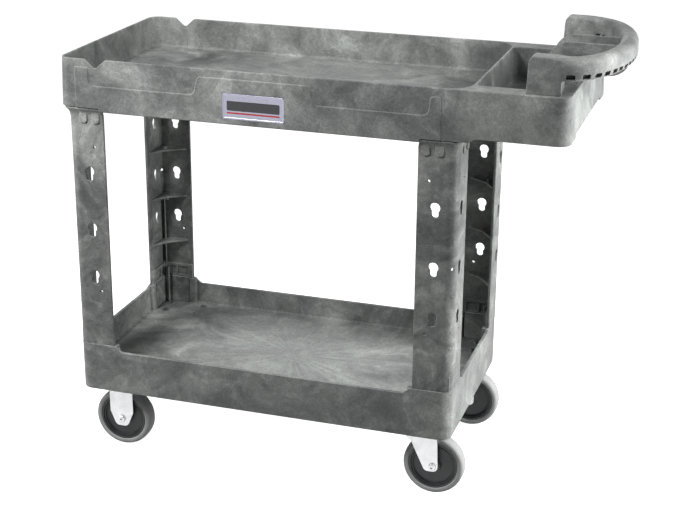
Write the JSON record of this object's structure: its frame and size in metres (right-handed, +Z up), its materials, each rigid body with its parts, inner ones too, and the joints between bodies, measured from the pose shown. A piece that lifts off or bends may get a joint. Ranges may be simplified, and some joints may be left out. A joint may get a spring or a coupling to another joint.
{
  "type": "rolling utility cart",
  "caption": "Two-shelf moulded plastic service cart with L-shaped legs, deep trays, an end bin, a looped push handle, rigid casters at one end and swivel casters at the other.",
  "frame": {"origin": "middle of the footprint on the floor under the wheels", "axes": "+X along the cart towards the push handle, +Y from the badge side to the other long side, +Z up"},
  "size_m": [1.105, 0.451, 0.928],
  "materials": {
    "foam_plastic": "marbled structural-foam polyolefin, fine matt grain with flow swirls",
    "zinc_steel": "bright zinc plated steel",
    "hub_plastic": "charcoal moulded polyolefin with a slight sheen",
    "tyre_rubber": "light grey non-marking rubber",
    "badge_metal": "satin silver plate with a plain painted band"
  },
  "bodies": {
    "cart_body": {"upper_deck": "foam_plastic", "badge_plate": "badge_metal", "push_handle": "foam_plastic", "lower_shelf": "foam_plastic", "leg_front_left": "foam_plastic", "leg_front_right": "foam_plastic", "leg_rear_left": "foam_plastic", "leg_rear_right": "foam_plastic", "handle_screw_front_1": "zinc_steel", "handle_screw_front_2": "zinc_steel", "handle_screw_rear_1": "zinc_steel", "handle_screw_rear_2": "zinc_steel", "rigid_front_fork": "zinc_steel", "rigid_front_axle_bolt": "zinc_steel", "rigid_front_axle_nut": "zinc_steel", "rigid_front_axle_sleeve": "zinc_steel", "rigid_front_plate_bolt_1": "zinc_steel", "rigid_front_plate_bolt_2": "zinc_steel", "rigid_front_plate_bolt_3": "zinc_steel", "rigid_front_plate_bolt_4": "zinc_steel", "swivel_front_plate": "zinc_steel", "swivel_front_race": "zinc_steel", "swivel_front_kingpin": "zinc_steel", "swivel_front_plate_bolt_1": "zinc_steel", "swivel_front_plate_bolt_2": "zinc_steel", "swivel_front_plate_bolt_3": "zinc_steel", "swivel_front_plate_bolt_4": "zinc_steel", "rigid_rear_fork": "zinc_steel", "rigid_rear_axle_bolt": "zinc_steel", "rigid_rear_axle_nut": "zinc_steel", "rigid_rear_axle_sleeve": "zinc_steel", "rigid_rear_plate_bolt_1": "zinc_steel", "rigid_rear_plate_bolt_2": "zinc_steel", "rigid_rear_plate_bolt_3": "zinc_steel", "rigid_rear_plate_bolt_4": "zinc_steel", "swivel_rear_plate": "zinc_steel", "swivel_rear_race": "zinc_steel", "swivel_rear_kingpin": "zinc_steel", "swivel_rear_plate_bolt_1": "zinc_steel", "swivel_rear_plate_bolt_2": "zinc_steel", "swivel_rear_plate_bolt_3": "zinc_steel", "swivel_rear_plate_bolt_4": "zinc_steel"},
    "rigid_front_wheel": {"rigid_front_hub": "hub_plastic", "rigid_front_tyre": "tyre_rubber"},
    "swivel_front_yoke": {"swivel_front_fork": "zinc_steel", "swivel_front_axle_bolt": "zinc_steel", "swivel_front_axle_nut": "zinc_steel", "swivel_front_axle_sleeve": "zinc_steel"},
    "swivel_front_wheel": {"swivel_front_hub": "hub_plastic", "swivel_front_tyre": "tyre_rubber"},
    "rigid_rear_wheel": {"rigid_rear_hub": "hub_plastic", "rigid_rear_tyre": "tyre_rubber"},
    "swivel_rear_yoke": {"swivel_rear_fork": "zinc_steel", "swivel_rear_axle_bolt": "zinc_steel", "swivel_rear_axle_nut": "zinc_steel", "swivel_rear_axle_sleeve": "zinc_steel"},
    "swivel_rear_wheel": {"swivel_rear_hub": "hub_plastic", "swivel_rear_tyre": "tyre_rubber"}
  },
  "joints": [
    {"name": "rigid_front_roll", "type": "hinge", "parent": "cart_body", "child": "rigid_front_wheel", "pos_m": [-0.4645, -0.1625, 0.0635], "axis": [0, 1, 0], "continuous": true},
    {"name": "swivel_front_turn", "type": "hinge", "parent": "cart_body", "child": "swivel_front_yoke", "pos_m": [0.1895, -0.1625, 0.141], "axis": [0, 0, 1], "continuous": true},
    {"name": "swivel_front_roll", "type": "hinge", "parent": "swivel_front_yoke", "child": "swivel_front_wheel", "pos_m": [0.226, -0.1625, 0.0635], "axis": [0, 1, 0], "continuous": true},
    {"name": "rigid_rear_roll", "type": "hinge", "parent": "cart_body", "child": "rigid_rear_wheel", "pos_m": [-0.4645, 0.1635, 0.0635], "axis": [0, 1, 0], "continuous": true},
    {"name": "swivel_rear_turn", "type": "hinge", "parent": "cart_body", "child": "swivel_rear_yoke", "pos_m": [0.1895, 0.1635, 0.141], "axis": [0, 0, 1], "continuous": true},
    {"name": "swivel_rear_roll", "type": "hinge", "parent": "swivel_rear_yoke", "child": "swivel_rear_wheel", "pos_m": [0.226, 0.1635, 0.0635], "axis": [0, 1, 0], "continuous": true}
  ]
}
